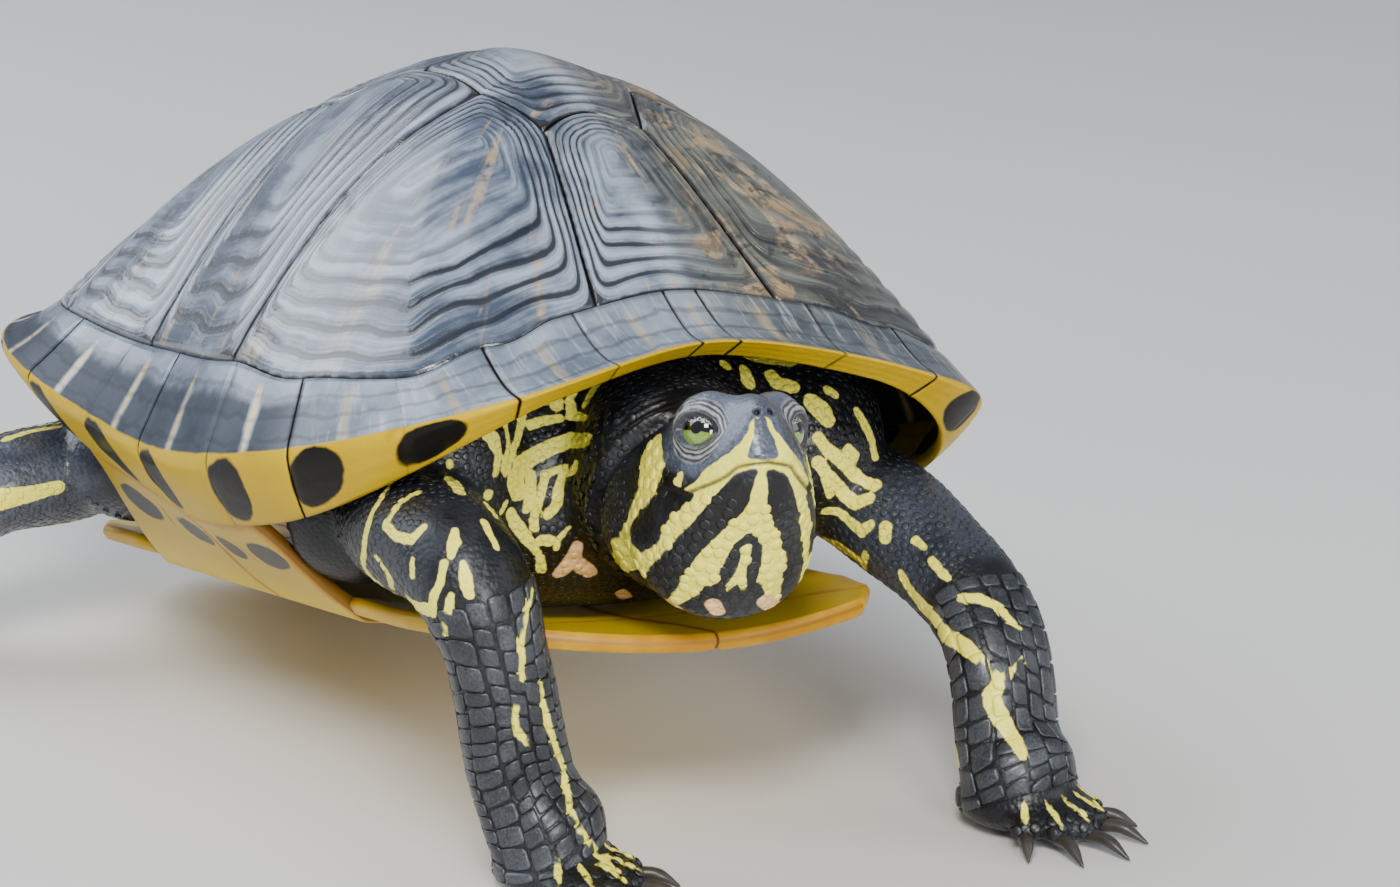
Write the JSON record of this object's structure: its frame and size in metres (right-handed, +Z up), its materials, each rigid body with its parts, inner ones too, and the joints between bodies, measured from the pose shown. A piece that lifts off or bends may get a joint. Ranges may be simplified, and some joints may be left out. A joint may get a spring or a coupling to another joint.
{
  "type": "yellow-bellied slider turtle",
  "caption": "Life-size model of a pond turtle on its feet: domed dark shell, yellow underside, raised striped head, striped legs with claws.",
  "frame": {"origin": "centre of the bounding box's underside, on the floor the feet stand on", "axes": "+Z up, the head towards -Y, the animal's left towards +X"},
  "size_m": [0.2114, 0.2434, 0.1167],
  "materials": {
    "carapace": "horny plates, glossy, with growth rings",
    "rim": "horny plates, glossy, yellow below with dark blotches",
    "plastron": "horny plates, satin, yellow",
    "skin": "scaly skin, satin, dark with yellow stripes",
    "eye": "wet, glossy"
  },
  "bodies": {
    "root": {"abdominal_left": "plastron", "abdominal_right": "plastron", "anal_left": "plastron", "anal_right": "plastron", "costal_1_left": "carapace", "costal_1_right": "carapace", "costal_2_left": "carapace", "costal_2_right": "carapace", "costal_3_left": "carapace", "costal_3_right": "carapace", "costal_4_left": "carapace", "costal_4_right": "carapace", "eye_left": "eye", "eye_right": "eye", "femoral_left": "plastron", "femoral_right": "plastron", "forearm_left": "skin", "forearm_right": "skin", "forefoot_left": "skin", "forefoot_right": "skin", "gular_left": "plastron", "gular_right": "plastron", "head": "skin", "hindfoot_left": "skin", "hindfoot_right": "skin", "humeral_left": "plastron", "humeral_right": "plastron", "marginals_11_12_left": "rim", "marginals_11_12_right": "rim", "marginals_1_2_left": "rim", "marginals_1_2_right": "rim", "marginals_3_4_left": "rim", "marginals_3_4_right": "rim", "marginals_5_6_left": "rim", "marginals_5_6_right": "rim", "marginals_7_8_left": "rim", "marginals_7_8_right": "rim", "marginals_9_10_left": "rim", "marginals_9_10_right": "rim", "neck": "skin", "nuchal": "rim", "pectoral_left": "plastron", "pectoral_right": "plastron", "shank_left": "skin", "shank_right": "skin", "tail": "skin", "thigh_left": "skin", "thigh_right": "skin", "trunk": "skin", "upper_arm_left": "skin", "upper_arm_right": "skin", "vertebral_1": "carapace", "vertebral_2": "carapace", "vertebral_3": "carapace", "vertebral_4": "carapace", "vertebral_5": "carapace"}
  },
  "joints": []
}
